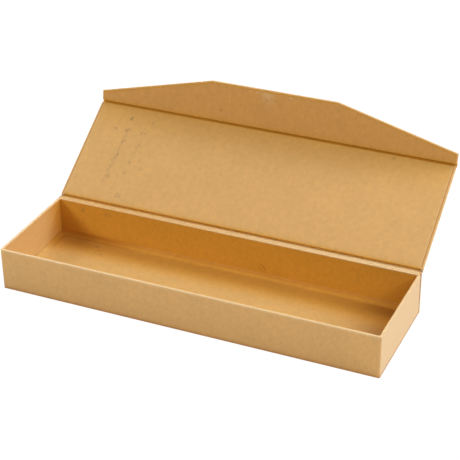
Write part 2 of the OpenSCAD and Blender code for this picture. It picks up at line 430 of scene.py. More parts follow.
@dataclass(frozen=True)
class KraftPaper:
    """Brown kraft paper: cloudy pulp, long fibres and faint streaks, under the marks of use and painted
    light and shade.
    """

    name: str
    colour: Colour = (0.62, 0.355, 0.118)
    # Pale tone of abrasion, and of painted highlights on lit edges and faces.
    worn_and_lit: Colour = (0.73, 0.575, 0.34)
    # Painted shade tone: a darker, more saturated copy of the paper for places in shade.
    inside: Colour = (0.635, 0.307, 0.037)
    # Dark brown of dirt and scratches, and of painted shade and shadow.
    soil_and_shade: Colour = (0.33, 0.10, 0.004)
    smudge: Colour = (0.20, 0.135, 0.075)
    # Dark brown of specks, and of painted shade in gaps.
    dot_and_shade: Colour = (0.10, 0.05, 0.02)
    # Brown tint that dims the reflections where shade is painted.
    shade_glint: Colour = (0.45, 0.18, 0.02)
    pattern_on: PatternOn = PatternOn.OWN_SHEET
    clouds: float = 0.50
    drift: float = 0.32
    hairs: float = 0.45
    streaks: float = 0.16
    swing: float = 0.32
    darkest: float = 0.86
    lightest: float = 1.12
    roughness: float = 0.45
    gloss: float = 0.42
    relief: float = 0.00012
    cloud_cells: float = 190.0
    drift_cells: float = 28.0
    fibre_cells: float = 1500.0
    cross_cells: float = 1100.0
    streak_cells: float = 420.0
    fleck_cells: float = 420.0
    smudge_cells: float = 620.0

    def shaded(self, tree: Tree, share: bpy.types.NodeSocket, colour: Colour) -> bpy.types.NodeSocket:
        """A colour between its darkest and its lightest, by a share."""
        return tree.blend(share, opaque(colour, self.darkest), opaque(colour, self.lightest))

    def marked(
        self, tree: Tree, paper: bpy.types.NodeSocket, where: bpy.types.NodeSocket,
        hairs: bpy.types.NodeSocket, grime_and_shade: bpy.types.NodeSocket,
    ) -> bpy.types.NodeSocket:
        """Lays the marks of use and the painted light and shade over the paper's colour.

        Args:
            tree: the material's nodes.
            paper: the colour so far.
            where: the pattern's coordinates.
            hairs: the fibres, which the pale marks follow.
            grime_and_shade: the depth of the soiling and of the painted shade.

        Returns:
            The colour with pale abrasion and painted highlights, soiling and painted shade, smudges broken
            up by noise, and dots with painted shade, in that order.
        """
        patchy = tree.math("MULTIPLY_ADD", tree.spread(hairs, 0.6, 1.3), 0.4, 0.35)
        paper = tree.blend(tree.math("MULTIPLY", tree.mark(WEAR_AND_HIGHLIGHT), patchy), paper, opaque(self.worn_and_lit))
        paper = tree.blend(grime_and_shade, paper, opaque(self.soil_and_shade))
        broken = tree.spread(tree.noise(where, self.smudge_cells, 3.0), 0.40, 0.60)
        smudged = tree.math("MULTIPLY", tree.math("MULTIPLY", tree.mark(RUB), broken), 1.5)
        paper = tree.blend(tree.math("MINIMUM", smudged, 1.0), paper, opaque(self.smudge))
        return tree.blend(tree.mark(SPECK_AND_SHADE), paper, opaque(self.dot_and_shade))

    def material(self) -> bpy.types.Material:
        """Builds the paper.

        Returns:
            A material whose tone is a sum of clouds at two sizes, fibres drawn out along and across the
            sheet, and streaks, with the marks of the piece, painted light and shade among them, laid over
            it.
        """
        tree = Tree(bpy.data.materials.new(self.name))
        if self.pattern_on is PatternOn.OWN_SHEET:
            where = tree.add("UVMap", {}, uv_map=PAPER_UV).outputs[0]
        else:
            where = tree.add("TexCoord", {}).outputs["Object"]
        along = tree.mapped(where, (0.16, 1.0, 1.0))
        across = tree.mapped(where, (1.0, 0.2, 1.0), turn=0.6)
        drawn = tree.mapped(where, (1.0, 0.07, 1.0))
        clouds = tree.noise(where, self.cloud_cells, 4.0)
        drift = tree.noise(where, self.drift_cells, 3.0)
        fibres = tree.noise(along, self.fibre_cells, 2.0)
        hairs = tree.math("ADD", fibres, tree.noise(across, self.cross_cells, 2.0))
        streaks = tree.noise(drawn, self.streak_cells, 2.0)
        pulp = tree.math("MULTIPLY_ADD", clouds, self.clouds, tree.math("MULTIPLY", drift, self.drift))
        tone = tree.math("MULTIPLY_ADD", hairs, self.hairs, pulp)
        tone = tree.math("MULTIPLY_ADD", streaks, self.streaks, tone)
        middle = 0.5 * (self.clouds + self.drift + 2 * self.hairs + self.streaks)
        share = tree.spread(tone, middle - self.swing, middle + self.swing)
        # The shade tone mark blends the paper towards its painted shade tone.
        shade_tone, grime_and_shade = tree.mark(SHADE_TONE), tree.mark(GRIME_AND_SHADE)
        paper = tree.blend(
            shade_tone, self.shaded(tree, share, self.colour), self.shaded(tree, share, self.inside)
        )
        flecks = tree.add("TexVoronoi", {"Vector": across, "Scale": self.fleck_cells}).outputs[0]
        fleck = tree.math("MULTIPLY", tree.spread(flecks, 0.16, 0.06), 0.25)
        paper = tree.blend(fleck, paper, opaque(self.colour, 0.55))
        # Where shade is painted, the reflections are tinted brown and dimmed as well.
        dimmed_gloss = tree.math("MAXIMUM", tree.spread(shade_tone, 0.0, 0.12), grime_and_shade)
        height = tree.math("MULTIPLY_ADD", clouds, 0.8, hairs)
        bump = tree.add("Bump", {"Height": height, "Strength": 0.30, "Distance": self.relief})
        rough = tree.math("MULTIPLY_ADD", tree.math("SUBTRACT", hairs, 1.0), 0.25, self.roughness)
        return tree.finish(tree.add(
            "BsdfPrincipled",
            {
                "Base Color": self.marked(tree, paper, where, hairs, grime_and_shade),
                "Roughness": rough,
                "Normal": bump.outputs[0],
                "Specular IOR Level": self.gloss,
                "Specular Tint": tree.blend(dimmed_gloss, WHITE, opaque(self.shade_glint)),
                "Sheen Weight": 0.05,
                "Sheen Roughness": 0.5,
            },
        ))


@dataclass(frozen=True)
class GreyBoard:
    """Grey bookbinding board: pressed waste paper with light and dark flecks."""

    name: str
    colour: Colour = (0.30, 0.285, 0.255)

    def material(self) -> bpy.types.Material:
        """Builds the board.

        Returns:
            A material of clouded grey with flecks, and a felted surface.
        """
        tree = Tree(bpy.data.materials.new(self.name))
        where = tree.add("TexCoord", {}).outputs["Object"]
        clouds = tree.noise(where, 140.0, 4.0)
        flecks = tree.noise(where, 1800.0, 2.0)
        board = tree.blend(clouds, opaque(self.colour, 0.85), opaque(self.colour, 1.15))
        board = tree.blend(tree.spread(flecks, 0.60, 0.70), board, opaque(self.colour, 1.7))
        board = tree.blend(tree.spread(flecks, 0.38, 0.30), board, opaque(self.colour, 0.4))
        bump = tree.add("Bump", {"Height": flecks, "Strength": 0.4, "Distance": 0.0001})
        shader = tree.add(
            "BsdfPrincipled",
            {"Base Color": board, "Roughness": 0.92, "Normal": bump.outputs[0]},
        )
        return tree.finish(shader)


@dataclass(frozen=True)
class PlatedMetal:
    """A plated disc, turned bright or dull."""

    name: str
    colour: Colour
    roughness: float

    def material(self) -> bpy.types.Material:
        """Builds the metal.

        Returns:
            A metal with fine cloudy polish marks.
        """
        tree = Tree(bpy.data.materials.new(self.name))
        where = tree.add("TexCoord", {}).outputs["Object"]
        clouds = tree.noise(where, 900.0, 4.0)
        tone = tree.blend(clouds, opaque(self.colour, 0.9), opaque(self.colour, 1.05))
        rough = tree.math("MULTIPLY_ADD", clouds, 0.15, self.roughness)
        bump = tree.add("Bump", {"Height": clouds, "Strength": 0.2, "Distance": 0.00003})
        shader = tree.add(
            "BsdfPrincipled",
            {"Base Color": tone, "Roughness": rough, "Metallic": 1.0, "Normal": bump.outputs[0]},
        )
        return tree.finish(shader)


def dress(obj: bpy.types.Object, material: bpy.types.Material) -> None:
    """Gives an object one material in place of those that it has."""
    obj.data.materials.clear()
    obj.data.materials.append(material)


# X, height or depth, size and depth of each rub mark, and the two ends, width and depth of each line
WALL_RUBS = (
    (-150.8, 33.3, 1.4, 0.75), (-152.4, 32.6, 0.9, 0.60), (-126.0, 33.1, 1.3, 0.60),
    (-122.8, 33.6, 1.1, 0.50),
)
WALL_SCRATCHES = ((29.4, 16.8, 34.1, 12.3, 0.45, 0.85), (27.3, 13.4, 31.5, 10.0, 0.50, 0.40))
FLOOR_RUBS = (
    (-132.5, 40.1, 1.8, 0.60), (-123.0, 28.3, 2.0, 0.55), (-127.3, 34.4, 1.6, 0.45),
    (-112.0, 33.0, 1.5, 0.40),
)
LID_RUBS = (
    (-139.8, 92.1, 1.3, 0.95), (-139.8, 78.6, 1.3, 0.75), (-137.6, 80.2, 0.9, 0.60),
    (-139.4, 66.1, 1.2, 0.75), (-137.4, 67.0, 0.8, 0.55), (-139.1, 51.9, 1.3, 0.80),
    (-141.0, 46.0, 1.0, 0.50), (-139.1, 27.2, 1.4, 0.60), (-124.0, 78.5, 1.1, 0.65),
    (-120.6, 78.9, 0.9, 0.50), (-121.2, 65.6, 1.1, 0.60), (-123.8, 62.0, 0.8, 0.45),
    (-123.8, 33.7, 1.3, 0.60), (-152.4, 78.6, 1.2, 0.60), (-150.2, 78.2, 0.9, 0.50),
    (-122.5, 9.6, 1.6, 0.55), (-119.6, 8.6, 1.0, 0.45), (-110.4, 40.7, 1.1, 0.45),
    (-138.7, 72.1, 0.8, 0.50), (-139.3, 69.1, 0.8, 0.45), (-139.1, 62.6, 0.9, 0.50),
    (-138.7, 57.8, 0.8, 0.40), (-139.6, 48.3, 1.1, 0.60), (-140.1, 44.3, 0.9, 0.50),
    (-140.1, 39.7, 1.0, 0.50), (-140.5, 36.3, 0.8, 0.40), (-141.2, 33.3, 1.0, 0.50),
    (-141.6, 29.9, 0.9, 0.40), (-141.8, 21.5, 0.9, 0.35), (-121.5, 71.9, 0.8, 0.35),
    (-117.5, 58.0, 0.9, 0.35), (-115.1, 48.7, 0.9, 0.35), (-124.0, 45.4, 1.0, 0.50),
    (-128.8, 40.2, 0.8, 0.30), (-161.8, 61.6, 0.8, 0.35), (-116.8, 90.9, 1.2, 0.35),
    (-149.6, 84.3, 0.9, 0.35),
)
LID_SMEARS = ((-138.8, 74.0, -141.8, 20.0, 1.3, 0.22), (-121.5, 72.0, -124.0, 44.0, 1.2, 0.12))
LID_SPECKS = ((120.2, 101.4, 0.9, 0.8),)
FLAP_WORN = ((-5.5, 34.0, 6.0, 0.5), (17.0, 34.9, 1.4, 0.8), (-16.0, 34.7, 1.2, 0.8))
FLAP_SPECKS = ((-52.4, 10.6, 0.8, 0.7),)


def fade(distance: Array, reach: float) -> Array:
    """1 at no distance or less, falling exponentially over the reach."""
    return np.exp(-np.maximum(distance, 0) / reach)


def bell(distance: Array, reach: float) -> Array:
    """A bell curve, which is 1 at no distance."""
    return np.exp(-((distance / reach) ** 2))


def ramp(distance: Array, reach: float) -> Array:
    """0 at no distance or less, rising evenly to 1 over the reach."""
    return np.clip(distance / reach, 0, 1)


def deepest(*marks: Array) -> Array:
    """The deepest of several marks at each point."""
    return np.max(np.broadcast_arrays(*marks), axis=0)


def paler_to_right(x: Array) -> Array:
    """How pale the edges at the back are, from abrasion and a painted highlight: less on the left, rising
    evenly to 1 on the right, where the light falls.
    """
    return np.clip(0.7 + x / 300.0, 0.35, 1.0)


def spots(x: Array, v: Array, places: tuple[tuple[float, ...], ...], stretch: float = 1.3) -> Array:
    """Soft round marks on a panel.

    Args:
        x: along the panel.
        v: across it.
        places: X, V, size and depth of each mark.
        stretch: how much longer a mark is across than along.

    Returns:
        The deepest mark at each point, each a bell curve of the distance from its middle.
    """
    return deepest(*(
        depth * bell(np.hypot(x - a, (v - b) / stretch), size) for a, b, size, depth in places
    ))


def strokes(x: Array, v: Array, lines: tuple[tuple[float, ...], ...]) -> Array:
    """Thin straight scratches or smears.

    Args:
        x: along the panel.
        v: across it.
        lines: X and V of both ends, then the width and depth of each line.

    Returns:
        The deepest line at each point, each a bell curve of the distance from it.
    """
    marks = []
    for a, b, c, d, width, depth in lines:
        run = math.hypot(c - a, d - b)
        along = ((x - a) * (c - a) + (v - b) * (d - b)) / run
        beside = ((v - b) * (c - a) - (x - a) * (d - b)) / run
        past = np.maximum(np.maximum(-along, along - run), 0)
        marks.append(depth * bell(np.hypot(beside, past), width))
    return deepest(*marks)


@dataclass
class Tray:
    """The tray: walls and base of grey board, wrapped in one paper and lined with another."""

    corner: float = 1.6
    edge: float = 0.6
    foot: float = 0.35
    turn_under: float = 15.0
    step: float = 1.6
    lining_top: float = 4.5
    curve_up: float = 3.2
    bend_widths: tuple[float, float, float, float] = (5.0, 4.0, 3.0, 3.4)
    scratch_x: tuple[float, float] = (26.0, 35.5)
    scratch_z: tuple[float, float] = (9.0, 18.0)
    dent: float = 0.05
    least_corner: float = 0.3
    near_wall: float = 3.0
    # How far the marks of use and the painted highlights and shade reach
    pale_reach: float = 0.5
    foot_reach: float = 2.4
    crease_shade_reach: float = 1.6
    back_corner_shade_reach: float = 20.0
    left_wall_shadow_reach: float = 45.0
    end_shadow_reach: float = 26.0
    floor_corner_shade_reach: float = 13.0
    golden_reach: float = 21.0
    end_shade_tone_reach: float = 25.0

    def plan(self, inset: Array, radius: Array) -> Array:
        """The tray's plan at several insets.

        Args:
            inset: distance inside the tray's outline, one for each round.
            radius: radius of each round's corners.

        Returns:
            Rounds by points by X and Y. A corner is a quarter circle about its centre, and a
            side is the straight line between two corners, sampled by shares.
        """
        turn = quarter(7)
        half_x, half_y = SIZES.half_length - inset, SIZES.back - inset
        signs = np.array([(1, 1), (-1, 1), (-1, -1), (1, -1)])
        centre = joined(half_x - radius, half_y - radius)[:, None, :] * signs
        angles = turn[None, :] + np.arange(4)[:, None] * math.pi / 2
        spokes = joined(np.cos(angles), np.sin(angles))
        arcs = centre[:, :, None, :] + radius[:, None, None, None] * spokes
        parts = []
        for k in range(4):
            length = SIZES.length if k % 2 == 0 else SIZES.depth
            share = stations(length, self.step)[1:-1, None]
            if k == 0:
                scratched = np.linspace(*self.scratch_x, 30) / length
                share = np.sort(np.concatenate([share, 0.5 - scratched[:, None]]), axis=0)
            a, b = arcs[:, k, -1, None], arcs[:, (k + 1) % 4, 0, None]
            parts += [arcs[:, k], a + (b - a) * share]
        return np.concatenate(parts, axis=1)

    def wrap_section(self) -> tuple[Array, Array, Array, Array]:
        """The wrap's section, as a closed line.

        Returns:
            Inset, height, wear and side of each point, where side is 1 outside and -1 inside. It
            runs from under the base round the foot, up the wall, over the rounded rim and down
            inside, and comes back along the paper's hidden face.
        """
        a, e, f = quarter(6), self.edge, self.foot
        low, top, rim, half = SIZES.paper, SIZES.height, SIZES.rim, SIZES.paper / 2
        floor = 2 * SIZES.paper + SIZES.board
        wall = low + f + (top - e - low - f) * stations(top - e - low - f, 2.0)
        inner = top - e - (top - e - floor) * stations(top - e - floor, self.step)
        inner = np.unique(np.concatenate([inner, np.linspace(*self.scratch_z, 24)]))[::-1]
        under = np.array([self.turn_under, 8.0, 3.0])
        lines = [
            (under, np.full(3, low), 0, 0),
            (f * (1 - np.sin(a)), low + f * (1 - np.cos(a)), 0, 0),
            (np.zeros(len(wall) - 2), wall[1:-1], 0, 1),
            (e * (1 - np.cos(a)), top - e * (1 - np.sin(a)), 1, 0),
            (rim - e * (1 - np.sin(a)), top - e * (1 - np.cos(a)), 1, 0),
            (np.full(len(inner) - 1, rim), inner[1:], 0, -1),
            (np.full(2, rim - half), np.array([floor, top - half]), 0, 0),
            (np.full(2, half), np.array([top - half, low + half]), 0, 0),
            (np.array([self.turn_under]), np.array([low + half]), 0, 0),
        ]
        inset, z = (np.concatenate([line[i] for line in lines]) for i in (0, 1))
        wear_and_highlight, side = (
            np.concatenate([np.full(len(line[0]), float(line[i])) for line in lines]) for i in (2, 3)
        )
        return inset, z, wear_and_highlight, side

    def wrap_marks(self, plan: Array, section: tuple[Array, ...]) -> dict[str, Array]:
        """The wrap's marks of use.

        Args:
            plan: X and Y by rounds and points.
            section: inset, height, wear and side of each round.

        Returns:
            Marks by name, each a fade, a bell or a ramp of a distance: pale rims and corners from abrasion
            and painted highlights, golden inner walls in the painted shade tone, scratches, and painted
            shade beside the spine, in creases, corners and notches, and darker feet.
        """
        inset, z, wear_and_highlight, side = (part[:, None] for part in section)
        x, y = plan[..., 0], plan[..., 1]
        half, back, rim, top = SIZES.half_length, SIZES.back, SIZES.rim, SIZES.height
        outside, inner, bare = side > 0, side < 0, side >= 0
        on_left, at_back = x < -half + self.near_wall, y > back - self.near_wall
        at_end = np.abs(x) > half - 1.3
        to_corner = np.min(half + back - np.abs(plan).sum(-1) - inset, axis=0)
        to_crease = half + back - 2 * rim - np.abs(plan).sum(-1)
        to_spine = np.maximum(y - back + 1.0, 0) * (np.abs(z - top) < 0.7)
        # Pale corners, most on the right, and a pale band under the rim: abrasion and painted highlight
        # where the light from the right falls.
        pale_corner = fade(to_corner, self.pale_reach) * outside * np.where(x > 0, 0.7, 0.1)
        below_rim = 0.9 * fade(top - self.edge - z, self.pale_reach) * outside
        on_edges = np.maximum(np.maximum(wear_and_highlight, pale_corner), below_rim) * (to_spine < 0.9)
        # Painted shade deepening towards the back of the left inner wall.
        back_corner_shade = bell(np.maximum(back - rim - y, 0), self.back_corner_shade_reach)
        lip = (z > top - self.edge) & (inset > rim / 2)
        # A painted shade line just above the floor sheet's turned-up edge, on the back wall's left part.
        lining_edge_shade = bell(z - SIZES.floor_face - self.lining_top - 0.7, 0.8) * ramp(-80 - x, 60)
        # Painted shadow that the left wall casts on the back wall, a triangle from its top corner.
        left_wall_shadow = 1 - ramp(x + half + z, self.left_wall_shadow_reach)
        # Painted shade in the gap between the tray's back end corners and the spine.
        notch_shade = ramp(y - back + 1.4, 1.0) * ramp(z - 8, 20)
        return {
            # Pale: abrasion and painted highlight on the edges, less at the back left; painted light on the
            # left inner wall, which faces the lamps, and a painted highlight on the right end's outer wall.
            WEAR_AND_HIGHLIGHT: deepest(
                on_edges * np.where(at_back, paler_to_right(x), 1.0),
                0.68 * inner * on_left * (1 - back_corner_shade),
                0.6 * outside * (x > half - 0.4),
            ),
            # Painted shade tone over the inner walls, and a trace on the rim's inner half.
            SHADE_TONE: np.maximum(inner * np.where(on_left, 0.95 + 0.05 * back_corner_shade, 1.0), 0.04 * lip),
            # Darkening: scratches, darker feet, and painted shade beside the spine, in the notches, above
            # the lining's edge, in the left wall's cast shadow, in the inner corners and at the back of the
            # left wall.
            GRIME_AND_SHADE: deepest(
                0.08 * ramp(to_spine, 1.0),
                notch_shade * at_end * bare,
                0.6 * ramp(self.foot_reach + 0.8 - z, self.foot_reach) * bare,
                0.55 * lining_edge_shade * inner * at_back,
                0.7 * left_wall_shadow * inner * at_back,
                strokes(x, z, WALL_SCRATCHES) * inner * at_back,
                0.3 * fade(to_crease, self.crease_shade_reach) * inner * (y > 0),
                0.05 * back_corner_shade * inner * on_left,
            ),
            RUB: spots(x, z, WALL_RUBS) * inner * at_back,
        }

    def wrap(self) -> bpy.types.Object:
        """Carries the wrap's section round the plan.

        Returns:
            The wrap. The outer walls are drawn in by up to a tenth of a millimetre where the
            board is uneven under the paper.
        """
        section = self.wrap_section()
        inset, z, _, side = section
        plan = self.plan(inset, np.maximum(self.corner - inset, self.least_corner))
        along = lengths(self.plan(np.zeros(1), np.full(1, self.corner))[0])
        down = lengths(joined(inset, z))
        dent = self.dent * (1 + unevenness(along[None, :-1], z[:, None], 0.7)) * (side > 0)[:, None]
        wall = np.abs(plan) > [SIZES.half_length - self.near_wall, SIZES.back - self.near_wall]
        plan = plan - np.sign(plan) * wall * dent[..., None]
        points = joined(plan[..., 0], plan[..., 1], z[:, None])
        uv = joined(along[None, :], down[:, None])
        marks = self.wrap_marks(plan, section)
        patch = Patch(points, uv, marks, round_rows=True, round_cols=True)
        piece = made("tray_wrap_paper", [patch], "tray")
        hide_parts("tray_wrap")
        return piece

    def golden(self, y: Array, more: Array | float = 0.0) -> Array:
        """How golden the floor's sheet is, as painted shade tone: more towards the back, in the shade of
        the back wall and the lid.
        """
        return np.clip(1.9 - (SIZES.back - y) / self.golden_reach + more, 0.15, 1)

    def turned_up_marks(self, around: Array) -> dict[str, Array]:
        """Marks of the floor sheet's turned-up edge: pale from abrasion and painted highlight, golden with
        painted shade tone towards the back, and painted shade at the back left.
        """
        half, back = SIZES.half_length, SIZES.back
        x, y = around[2, :, 0], around[2, :, 1]
        # Painted shade at the back left, behind and beside the corner, where the pale edge gives way to it.
        behind = ramp(-85 - x, 40) * (y > back - 4)
        beside = ramp(y - 15, 35) * (x < -half + 4)
        dim = np.maximum(behind, beside)
        wear_and_highlight, darkened = np.zeros(around.shape[:2]), np.zeros(around.shape[:2])
        wear_and_highlight[2:4] = 0.8 * (1 - dim)
        darkened[2:] = 0.5 * dim
        return {WEAR_AND_HIGHLIGHT: wear_and_highlight, GRIME_AND_SHADE: darkened, SHADE_TONE: self.golden(around[..., 1])}

    def floor_marks(self, x: Array, y: Array) -> dict[str, Array]:
        """Marks of the floor's sheet: rubs, the right wall's painted shadow at the right end, painted shade
        at the back left, and the golden painted shade tone towards the back and the right end.
        """
        to_right = SIZES.half_length - x
        # Painted shadow of the right wall over the floor's right end, and painted shade in the back left
        # corner.
        end_shadow = 0.9 * fade(to_right - SIZES.rim, self.end_shadow_reach)
        corner = 0.5 * fade(SIZES.back - y, self.floor_corner_shade_reach) * ramp(-95 - x, 60)
        return {
            RUB: spots(x, y, FLOOR_RUBS, stretch=0.7),
            GRIME_AND_SHADE: np.maximum(end_shadow, corner),
            # Painted shade tone, deepest towards the back and the right end.
            SHADE_TONE: self.golden(y, fade(to_right, self.end_shade_tone_reach)),
        }

    def lining(self) -> bpy.types.Object:
        """Lays the floor's sheet, which curves up the walls instead of lying in the corners.

        Returns:
            The sheet. Its turned-up edge is an ellipse's quarter whose width differs from wall
            to wall, then a short upright, carried round a rectangle with mitred corners.
        """
        turn = quarter(9)
        floor, hidden_floor = SIZES.floor_face, SIZES.floor_face - SIZES.paper
        upright = np.linspace(floor + self.lining_top, floor + self.curve_up, 4)[:-1]
        z = np.concatenate([upright, floor + self.curve_up * (1 - np.sin(turn))])
        share = np.concatenate([np.zeros(len(upright)), 1 - np.cos(turn)])[:, None]
        left, right, front, back = (width * share for width in self.bend_widths)
        half_x = SIZES.half_length - SIZES.rim - SIZES.paper
        half_y = SIZES.back - SIZES.rim - SIZES.paper
        x = left - half_x + (2 * half_x - left - right) * stations(SIZES.length, 2.0)
        y = front - half_y + (2 * half_y - front - back) * stations(SIZES.depth, 2.0)
        grids = joined(x[:, None, :], y[:, :, None])
        rings = np.stack([outline_of(grid) for grid in grids])
        outer = joined(rings[..., 0], rings[..., 1], z[:, None])
        hidden = outer[0].copy()
        on_side = np.abs(np.abs(rings[0]) - [half_x, half_y]) < TOUCHING
        hidden[:, :2] += np.sign(rings[0]) * on_side * SIZES.paper
        foot, inner_foot = hidden.copy(), outer[-1].copy()
        foot[:, 2] = inner_foot[:, 2] = hidden_floor
        around = np.concatenate([inner_foot[None], foot[None], hidden[None], outer])
        out = np.sign(rings[-1]) * (np.abs(rings[-1] - rings[0]) > 0.5)
        rise = np.concatenate([[0.0, 0.0, self.lining_top], z - floor])
        flat = np.concatenate([rings[-1:], rings[:1], rings[:1], rings])
        uv = closed(flat + out[None] * rise[:, None, None])
        bottom = grids[-1]
        x, y = bottom[..., 0], bottom[..., 1]
        patches = [
            Patch(around, uv, self.turned_up_marks(around), round_cols=True),
            Patch(joined(x, y, floor), bottom, self.floor_marks(x, y)),
            Patch(joined(x, y, hidden_floor), bottom),
        ]
        piece = made("floor_lining_paper", patches, "tray")
        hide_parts("floor_lining")
        return piece


def sheet_patches(face: Array, back: Array, uv: Array, marks: list[dict[str, Array]]) -> list[Patch]:
    """A sheet's patches.

    Args:
        face: points of one face, by rows and columns.
        back: points of the other face.
        uv: paper coordinates of both.
        marks: the marks of the face, the back and the border.

    Returns:
        The two faces and the border between them.
    """
    border = np.stack([outline_of(face), outline_of(back)])
    edge_uv = closed(np.stack([outline_of(uv), outline_of(uv) + SIZES.paper]))
    border_marks = {name: np.full(border.shape[:2], depth) for name, depth in marks[2].items()}
    return [
        Patch(face, uv, marks[0]),
        Patch(back, uv, marks[1]),
        Patch(border, edge_uv, border_marks, round_cols=True),
    ]


@dataclass
class CasePanel:
    """One panel of the case: a board wrapped in the cover, with the lining laid on it."""

    leaf: Leaf
    high: float
    edge: float = 0.55
    step: float = 2.0
    lap: float = 0.12
    edge_wear_and_highlight: float = 0.22
    # Depth of a darker line just outside the lining's edge, and share of the painted shade tone on the
    # inward face.
    darkened: float = 0.8
    shade_share: float = 0.0
    mark_reach: float = 0.7
    pattern_shift: float = 7.0
    outside_shift: float = 61.0
    glue: float = 0.05

    def outline(self, inset: float) -> tuple[Array, Array]:
        """The panel's outline filled with a grid.

        Args:
            inset: distance inside the outline.

        Returns:
            X and V by rows and columns, each a straight share between two edges.
        """
        half = SIZES.half_length - inset
        x = -half + 2 * half * stations(SIZES.length, self.step)
        v = inset + (self.high - 2 * inset) * stations(self.high, self.step)
        return np.broadcast_arrays(x[None, :], v[:, None])

    def cover(self, name: str, node: str) -> bpy.types.Object:
        """Wraps the cover round the board.

        Args:
            name: the piece's name.
            node: the solid that it stands for.

        Returns:
            The cover. Its two faces are joined by an edge whose section is a quarter circle, a
            straight and a quarter circle, carried round the outline.
        """
        a, e = quarter(5), self.edge
        first, last = SIZES.paper, SIZES.panel
        inset = np.concatenate([e * (1 - np.sin(a)), e * (1 - np.cos(a))])
        level = np.concatenate([first + e * (1 - np.cos(a)), last - e * (1 - np.sin(a))])
        rings = np.stack([joined(*(outline_of(g) for g in self.outline(i))) for i in inset])
        points = self.leaf.place(rings[..., 0], rings[..., 1], level[:, None])
        run = joined(inset, level)
        length = np.cumsum(np.linalg.norm(np.diff(run, axis=0, prepend=run[:1]), axis=1))
        out = (rings[len(a) - 1] - rings[0]) / e
        uv = closed(rings[0] + out[None] * length[:, None, None])
        # The edge band is pale from abrasion and painted highlight.
        wear_and_highlight = np.full(points.shape[:2], self.edge_wear_and_highlight)
        # Painted shade in the gap where the spine cover's ends stand off the tray.
        near_tray = ramp(1.6 - level, 0.6)[:, None] * (self.leaf is Leaf.SPINE)
        at_end = np.abs(rings[..., 0]) > SIZES.half_length - 0.6
        notch_shade = near_tray * at_end * ramp(rings[..., 1] - 8, 20)
        patches = [Patch(points, uv, {WEAR_AND_HIGHLIGHT: wear_and_highlight, GRIME_AND_SHADE: notch_shade}, round_cols=True)]
        x, v = self.outline(e)
        away = self.distance(x, v)
        # A darker line just outside the lining's edge.
        darkened = self.darkened * bell(away - (SIZES.lining_inset - e - 0.3), self.mark_reach)
        for level, inward, shift in ((first, True, 0.0), (last, False, self.outside_shift)):
            marks = {
                WEAR_AND_HIGHLIGHT: 0.2 * fade(away, self.mark_reach),
                GRIME_AND_SHADE: darkened * inward,
                SHADE_TONE: np.full(x.shape, self.shade_share * inward),
            }
            patches.append(Patch(self.leaf.place(x, v, level), joined(x, v) + shift, marks))
        piece = made(name, patches, self.leaf.value)
        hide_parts(node)
        return piece

    def distance(self, x: Array, v: Array) -> Array:
        """Distance of points from the panel's nearest edge, inside the rounding."""
        across = np.minimum(v, self.high - v)
        return np.minimum(SIZES.half_length - np.abs(x), across) - self.edge

    def fold(self) -> Array:
        """The lining's way over a hinged edge.

        Returns:
            Rows by V beyond the edge, W, and the outward direction in V and W, along a straight
            and a quarter circle that ends on the face.
        """
        a, e = quarter(5), self.edge
        start = [-self.lap, SIZES.panel - 2 * SIZES.paper, -1.0, 0.0]
        over = joined(e * (1 - np.cos(a)) - self.lap, e * (1 - np.sin(a)), -np.cos(a), -np.sin(a))
        return np.concatenate([[start], over])

    def flat(self, v: Array) -> Array:
        """A lining's rows on the panel's face at V: at no depth, and facing outwards."""
        return joined(v, 0.0, 0.0, -1.0)

    def mirrored(self, rows: Array, span: float) -> Array:
        """A lining's rows seen from the other edge, a span away."""
        return rows * [-1, 1, -1, 1] + [span, 0, 0, 0]

    def width(self, step: float) -> Array:
        """X of the lining's columns."""
        half = SIZES.half_length - SIZES.lining_inset
        return -half + 2 * half * stations(2 * half, step)

    def sheet(
        self, name: str, node: str, x: Array, rows: Array, marks: dict[str, Array]
    ) -> bpy.types.Object:
        """Makes a sheet with its thickness.

        Args:
            name: the piece's name.
            node: the solid that it stands for.
            x: X by rows and columns.
            rows: by rows and columns, V, W and the outward direction in V and W.
            marks: the marks on the sheet.

        Returns:
            The sheet: its face, its back one paper's thickness inside, and the border between.
        """
        v, w, out_v, out_w = np.moveaxis(rows, -1, 0)
        face = self.leaf.place(x, v, w)
        back = self.leaf.place(x, v - out_v * SIZES.paper, w - out_w * SIZES.paper)
        run = np.linalg.norm(np.diff(face, axis=0, prepend=face[:1]), axis=-1).cumsum(0)
        uv = joined(x, run + self.pattern_shift)
        marks = {name: np.broadcast_to(depth, face.shape[:2]) for name, depth in marks.items()}
        patches = sheet_patches(face, back, uv, [marks, {}, {WEAR_AND_HIGHLIGHT: 0.9}])
        piece = made(name, patches, self.leaf.value)
        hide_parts(node)
        return piece


